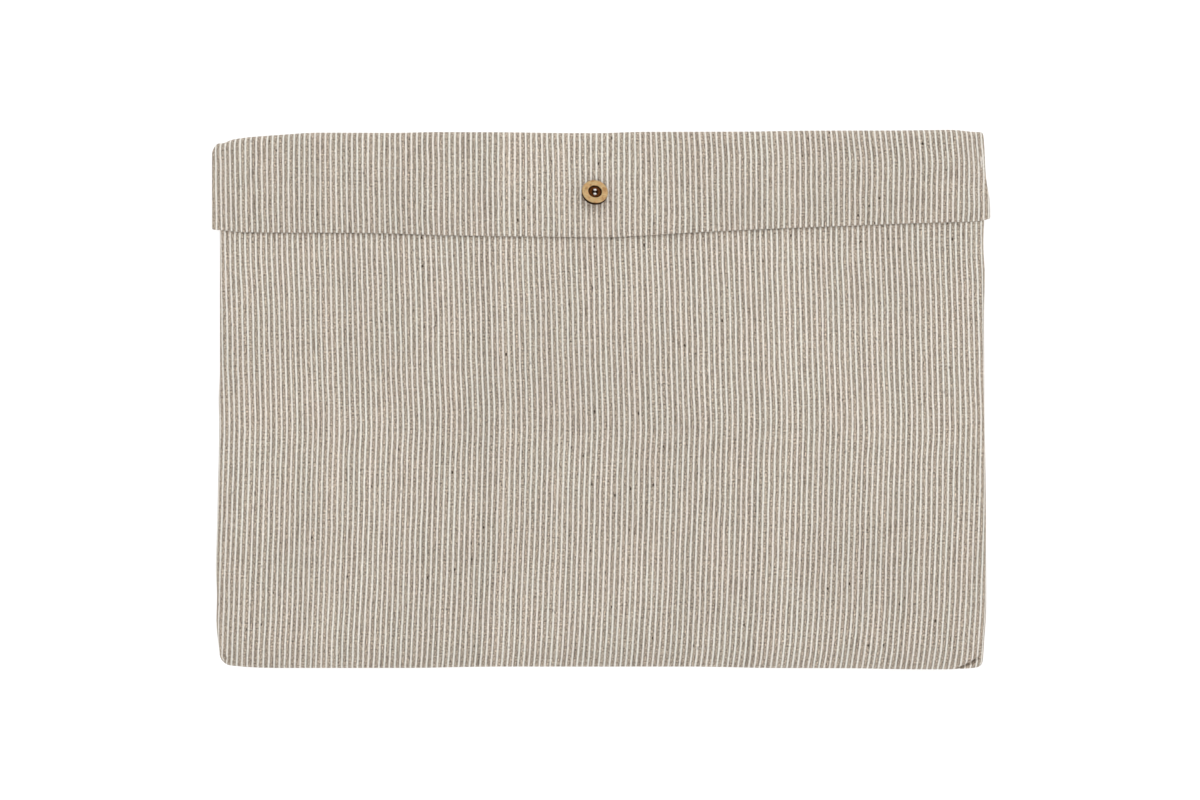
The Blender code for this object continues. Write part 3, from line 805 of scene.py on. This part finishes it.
def fold_columns(sign, s, margin, hemmed):
    """(x, share of the way under the edge) of the pouch's columns past its mouth.

    They spread to the fold's width, and those round the rim turn under its edge, if it is hemmed.
    """
    reach = FLAP_HALF - margin
    rim = RIM_LENGTH + 0.0002 if hemmed else 0.0
    flat = HALF_WIDTH - side_profile(s, 0.0)[0]
    end = HALF_WIDTH - side_profile(rim, 0.0)[0]
    flat = np.minimum(flat, end)
    spread_from = 0.16
    x = flat + (reach - end) * smooth((flat - spread_from) / (end - spread_from))
    turned = np.maximum(rim - s, 0) / max(rim, 1e-6)
    x = np.where(turned > 0, reach - HEM * turned**1.4, x)
    return sign * x, smooth(turned * 2.4)


def join(piece, flap, *bodies):
    """Bakes a piece's placement into its mesh, then settles it."""
    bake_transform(piece)
    settle_piece(piece, flap)


def back_linen():
    points, across, along = back_layer(0.0, HEM_DEPTH, 0.0, MOUTH_Y)
    piece = cloth_piece("linen_back", points, across, along, striped_linen, 41, LINEN, flip=True)
    join(piece, False, "pouch", "spine")
    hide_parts("back_panel", "spine_panel")
    return along[-2]


def back_lining():
    points, across, along = back_layer(-LINING_DEPTH, 0.0, FACING_INSET, MOUTH_Y - 0.004)
    piece = cloth_piece("lining_back", points, across, along, plain_linen, 51, LINING, flip=True)
    join(piece, False, "pouch", "spine")
    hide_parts("back_lining", "spine_lining")


def front_lining():
    rows = bottom_rows(MOUTH_Y - MOUTH_HEM + 0.003)
    points, across = pouch_grid(1, -LINING_DEPTH, rows)
    piece = cloth_piece("lining_front", points, across, rows, plain_linen, 61, LINING)
    settle_piece(piece, False, crease=True)
    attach(piece, "pouch")
    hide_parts("front_lining")


def wadding(side, name, node):
    """A pad that stops short of the seams, with a recess for the magnet in the front one."""
    rows = bottom_rows(MOUTH_Y - MOUTH_ROUND - 0.001 if side > 0 else MOUTH_Y - 0.0065)
    rows = rows[rows > 0.001]
    points, across = pouch_grid(side, -WADDING_DEPTH, rows)
    points, across = points[:, 2:-2], across[2:-2]
    keep = clear_of_magnet(points, MAGNET_RADIUS + STEP / 2) if side > 0 else None
    piece = cloth_piece(name, points, across, rows, wadding_felt, 71, WADDING, flip=side < 0, keep=keep)
    settle_piece(piece, False, crease=side > 0)
    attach(piece, "pouch")
    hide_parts(node)


def seam_strips():
    """The turned-in margins inside the side and bottom seams."""
    insets = (0.0010, 0.0019, 0.0028)
    corner = 0.013
    x = np.linspace(-HALF_WIDTH + corner, HALF_WIDTH - corner, 90)
    y = np.linspace(BOTTOM_Y + corner, MOUTH_Y - 0.002, 60)
    strips = (
        ("side_seam_left", [(-(HALF_WIDTH - inset), y, MID_Z) for inset in insets]),
        ("bottom_seam", [(x, BOTTOM_Y + inset, MID_Z) for inset in insets]),
        ("side_seam_right", [(HALF_WIDTH - inset, y, MID_Z) for inset in insets]),
    )
    for name, lines in strips:
        points = np.array([np.stack(np.broadcast_arrays(*line), -1) for line in lines])
        across, along = np.linspace(0, 0.3, points.shape[1]), (0.0, 0.0009, 0.0018)
        piece = cloth_piece(name + "_margin", points, across, along, striped_linen, 81, SEAM_MARGIN)
        piece.modifiers[0].offset = 0.0
        settle_piece(piece, False)
        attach(piece, "pouch")
        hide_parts(name)


# Flap pieces


def flap_rows(x, under, depth, hem_depth, margin, hem):
    """Rows from the middle of the spine round the upper bend and down the flap, turned under at its edge."""
    d = depth + (hem_depth - depth) * under
    radius = bend_radius(x)
    high, middle = bend_point(x, d, 0.0, 1), spine_middle(x, d)
    made = [middle + (high - middle) * t for t in (0.0, 0.33, 0.67)]
    for i in range(BEND_STEPS + 1):
        made.append(bend_point(x, d, math.pi / 2 * i / BEND_STEPS, 1))
    lower = edge_y(x) + margin
    span = FOLD_Y - radius - lower
    shares = np.concatenate([[0.025, 0.05], np.arange(1, 12) / 12.5, [0.905, 0.93, 0.953, 0.972, 0.986]])
    for share in shares:
        made.append(flap_face(x, FOLD_Y - radius - span * share, d))
    if not hem:
        made.append(flap_face(x, lower, d))
        return np.array(made), len(made)
    outer = len(made)
    # Round the edge and back under it, with the share of the way down to the hem
    for back, way in ((0.0002, 0.12), (0.0, 0.5), (0.0002, 0.88), (0.0012, 1.0), (0.003, 1.0), (hem, 1.0)):
        made.append(flap_face(x, lower + back, np.maximum(d, hem_depth * 0.98 * way)))
    return np.array(made), outer


def flap_face(x, y, depth):
    """A point of the flap above the front panel. Deep layers rest a hair above that panel."""
    rise = flap_rise(x, y)
    shallow = half_height(x, rise)
    floor = half_height(x, HEM_CLEARANCE)
    z = np.where(depth > 0, np.maximum(shallow - depth, floor), shallow)
    return np.stack(np.broadcast_arrays(x, y, MID_Z + z), -1)


def flap_linen(start):
    """The flap's linen, which goes on along the cloth from where the back's ends."""
    x, under = hem_columns(0.0, HEM)
    points, outer = flap_rows(x, under, 0.0, HEM_DEPTH, 0.0, HEM)
    along = start + along_cloth(points)
    keep = np.ones((points.shape[0] - 1, points.shape[1] - 1), bool)
    turned = (under[1:] > 0.9) & (under[:-1] > 0.9)
    keep[outer + 2:, :] &= ~turned[None, :]
    across = cloth_across(x, under)
    piece = cloth_piece(
        "linen_flap", points, across, along, striped_linen, 41, LINEN, flip=True, keep=keep, flap=True
    )
    join(piece, True, "spine", "flap")
    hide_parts("flap_panel", "flap_seam")


def flap_inner(name, depth, margin, material, thickness, nodes, recess=None):
    """A layer inside the flap, this deep, with a recess round its magnet where one is given."""
    x, under = hem_columns(margin, 0.0)
    points, _ = flap_rows(x, under, depth, depth, margin, 0.0)
    keep = clear_of_magnet(points, recess) if recess else None
    length = along_cloth(points)
    piece = cloth_piece(name, points, x, length, material, 91, thickness, flip=True, keep=keep, flap=True)
    join(piece, True, "spine", "flap")
    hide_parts(*nodes)


def spine_fleece():
    x, under = hem_columns(FLEECE_INSET, 0.0)
    points = fold_rows(np.zeros((0, len(x), 3)), x, under, FLEECE_DEPTH, FLEECE_DEPTH, MOUTH_Y, 0.0)
    length = along_cloth(points)
    piece = cloth_piece("fleece_spine", points, x, length, fleece_felt, 91, FLEECE, flip=True)
    join(piece, False, "pouch", "spine")
    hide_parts("spine_interlining")


# Button


BUTTON_LEAN = math.radians(26)
BUTTON_TURN = math.radians(9)
BUTTON_RADIUS = 0.0065
BUTTON_THICKNESS = 0.0022
HOLE_OFFSET = 0.00116
HOLE_RADIUS = 0.00068
DISH_Z = BUTTON_THICKNESS - 0.0006  # the dish's floor
STRANDS = 5  # of thread through each hole
SHANK_RADIUS = 0.00068
SHANK_TURNS = 6


def ring(bm, centre, radius, right, up, count):
    """A circle of vertices."""
    angles = (2 * math.pi * i / count for i in range(count))
    return [bm.verts.new(centre + radius * (math.cos(a) * right + math.sin(a) * up)) for a in angles]


def bmesh_piece(name, bm, material):
    mesh = bpy.data.meshes.new(name)
    bm.to_mesh(mesh)
    bm.free()
    return link(name, mesh, material)


def lathe(name, profile, material, steps=96):
    """A closed turned shape from (radius, z) points that start and end on its axis."""
    bm = bmesh.new()
    rings = []
    for radius, z in profile:
        centre = np.array([0.0, 0.0, z])
        rings.append(ring(bm, centre, radius, X_AXIS, Y_AXIS, steps) if radius else [bm.verts.new(centre)])
    for low, high in zip(rings, rings[1:]):
        for i in range(steps):
            j = (i + 1) % steps
            corners = [low[i % len(low)], low[j % len(low)], high[j % len(high)], high[i % len(high)]]
            unique = list(dict.fromkeys(corners))
            if len(unique) > 2:
                bm.faces.new(unique)
    bmesh.ops.recalc_face_normals(bm, faces=bm.faces)
    return bmesh_piece(name, bm, material)


def tube(name, path, radius, material, sides=10):
    """A strand along a path, closed at its ends. radius may be one number or one for each point."""
    path = np.array(path, float)
    radii = np.broadcast_to(radius, len(path))
    bm = bmesh.new()
    rings = []
    side = X_AXIS
    for i, point in enumerate(path):
        ahead = path[min(i + 1, len(path) - 1)] - path[max(i - 1, 0)]
        ahead /= np.linalg.norm(ahead)
        side = side - ahead * (side @ ahead)
        side /= np.linalg.norm(side)
        rings.append(ring(bm, point, radii[i], side, np.cross(ahead, side), sides))
    for low, high in zip(rings, rings[1:]):
        for k in range(sides):
            bm.faces.new((low[k], low[(k + 1) % sides], high[(k + 1) % sides], high[k]))
    bm.faces.new(rings[0][::-1])
    bm.faces.new(rings[-1])
    return bmesh_piece(name, bm, material)


def merged(pieces):
    """Joins pieces into the first of them."""
    with bpy.context.temp_override(
        active_object=pieces[0], selected_editable_objects=pieces, object=pieces[0]
    ):
        bpy.ops.object.join()
    return pieces[0]


def on_button(piece):
    """Stands a piece made round the button's axis on the button's pivot, leaning toward the fold."""
    piece.matrix_world = (
        Matrix.Translation(BUTTON_PIVOT + Vector((0.0002, 0.0002, 0.0)))
        @ Matrix.Rotation(-BUTTON_LEAN, 4, "X")
        @ Matrix.Rotation(BUTTON_TURN, 4, "Y")
    )
    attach(piece, "button")


def button():
    """The turned disc, from its dish out over the ring and down to its back, bored for the thread."""
    top, dish = BUTTON_THICKNESS, DISH_Z
    profile = [
        (0.0, dish), (0.0012, dish), (0.0022, dish + 0.00003), (0.0030, dish + 0.00012),
        (0.0033, dish + 0.00034), (0.00345, top - 0.00005), (0.0036, top), (0.0048, top + 0.00002),
        (0.0060, top), (0.00628, top - 0.00004), (0.00642, top - 0.00012), (BUTTON_RADIUS, top - 0.00026),
        (BUTTON_RADIUS, 0.0003), (0.0064, 0.0001), (0.0062, 0.0), (0.0, 0.0),
    ]
    disc = lathe("turned_button", profile, wood)
    above, below = 0.004, -0.002
    for y in (HOLE_OFFSET, -HOLE_OFFSET):
        rod = [(0.0, above), (HOLE_RADIUS, above), (HOLE_RADIUS, below), (0.0, below)]
        bore = lathe("bore", rod, wood, 32)
        bore.location.y = y
        hole = disc.modifiers.new("thread hole", "BOOLEAN")
        hole.operation = "DIFFERENCE"
        hole.solver = "EXACT"
        hole.object = bore
        bpy.context.view_layer.update()
        with bpy.context.temp_override(object=disc, active_object=disc):
            bpy.ops.object.modifier_apply(modifier=hole.name)
        bpy.data.objects.remove(bore)
    on_button(disc)
    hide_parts("wooden_button")


def button_stitch():
    """Strands of thread up through one hole, on below the dish's floor, and down through the other."""
    strands = []
    steps = 32
    for k in range(STRANDS):
        angle = 2 * math.pi * k / STRANDS
        aside = 0.00052 * math.cos(angle)
        path, radii = [], []
        for i in range(steps + 1):
            y = -1.12 * HOLE_OFFSET * math.cos(math.pi * i / steps)
            tuft = hump(abs(y) - HOLE_OFFSET, 0.00034)  # 1 in the holes, where the strands swell and rise
            end = 1 - smooth(min(i, steps - i) / 4)
            rise = 0.00158 * tuft * (1 - 0.25 * abs(math.cos(angle)))
            path.append((
                aside * (0.2 + 0.8 * tuft),
                y * (1 + 0.16 * math.sin(angle) * tuft),
                DISH_Z - 0.0010 + rise - 0.0010 * end,
            ))
            radii.append(0.00006 + 0.00024 * tuft)
        strands.append(tube(f"strand_{k}", path, radii, thread))
    stitch = merged(strands)
    stitch.name = "stitch"
    on_button(stitch)
    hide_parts("button_thread")


def shank():
    """Thread wound round the stem between the flap and the button."""
    low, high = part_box("thread_shank")
    middle = (low + high) / 2
    steps = SHANK_TURNS * 16
    path = []
    for i in range(steps + 1):
        a = 2 * math.pi * i / 16
        z = low.z + 0.0002 + (high.z - low.z - 0.0004) * i / steps
        path.append((middle.x + SHANK_RADIUS * math.cos(a), middle.y + SHANK_RADIUS * math.sin(a), z))
    core = [(middle.x, middle.y, low.z), (middle.x, middle.y, high.z)]
    strand = tube("wound_shank", path, 0.00021, thread, 8)
    wound = merged([strand, tube("shank_core", core, 0.0006, thread, 16)])
    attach(wound, "flap")
    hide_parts("thread_shank")


# Studio


FLOOR_HALF = 40.0
VIEW_WIDTH = 0.600  # that the camera sees, level with the side seams
# Name, place, width in metres and power in watts
LAMPS = (("key", (0.10, 0.80, 1.25), 0.9, 4.3), ("fill", (-0.9, -0.4, 1.8), 1.4, 2.0))


def paper_floor():
    """Plain white paper, a little bright by itself, so that it is white right up to the sleeve's edge."""
    m = Maths("white_paper")
    m.surface(Base_Color=(0.42, 0.42, 0.42, 1.0), Roughness=0.9)
    m.surface(Emission_Color=(1.0, 1.0, 1.0, 1.0), Emission_Strength=0.72)
    mesh = bpy.data.meshes.new("floor")
    corners = [(x * FLOOR_HALF, y * FLOOR_HALF, 0) for x, y in ((-1, -1), (1, -1), (1, 1), (-1, 1))]
    mesh.from_pydata(corners, [], [(0, 1, 2, 3)])
    ground = link("floor", mesh, m.material)
    ground.location.z = -0.0001


def studio():
    scene = bpy.context.scene
    paper_floor()
    scene.world = bpy.data.worlds.new("studio")
    scene.world.use_nodes = True
    sky = scene.world.node_tree.nodes["Background"]
    sky.inputs["Color"].default_value = (1.0, 1.0, 1.0, 1.0)
    sky.inputs["Strength"].default_value = 0.818
    for name, place, width, power in LAMPS:
        light = bpy.data.lights.new(name, "AREA")
        light.size = width
        light.energy = power
        lamp = bpy.data.objects.new(name, light)
        lamp.location = place
        lamp.rotation_euler = (-Vector(place)).to_track_quat("-Z", "Y").to_euler()
        scene.collection.objects.link(lamp)
    lens = bpy.data.cameras.new("camera")
    lens.lens = 95.0
    lens.sensor_width = 36.0
    lens.clip_end = 120.0
    camera = bpy.data.objects.new("camera", lens)
    camera.location = (-0.0003, 0.0, MID_Z + VIEW_WIDTH * lens.lens / lens.sensor_width)
    scene.collection.objects.link(camera)
    scene.camera = camera
    scene.view_settings.view_transform = "Standard"


studio()
wadding(1, "wadding_front", "front_padding")
wadding(-1, "wadding_back", "back_padding")
front_linen()
cloth_so_far = back_linen()
back_lining()
front_lining()
seam_strips()
flap_linen(cloth_so_far)
flap_inner("facing_flap", FACING_DEPTH, FACING_INSET, plain_linen, LINING, ["flap_facing"])
flap_inner(
    "fleece_flap", FLEECE_DEPTH, FLEECE_INSET, fleece_felt, FLEECE, ["flap_interlining"],
    recess=MAGNET_RADIUS + STEP / 2,
)
spine_fleece()
button()
button_stitch()
shank()
for node in ("front_magnet", "flap_magnet"):
    frame["nodes"][node].data.materials.clear()
    frame["nodes"][node].data.materials.append(nickel)
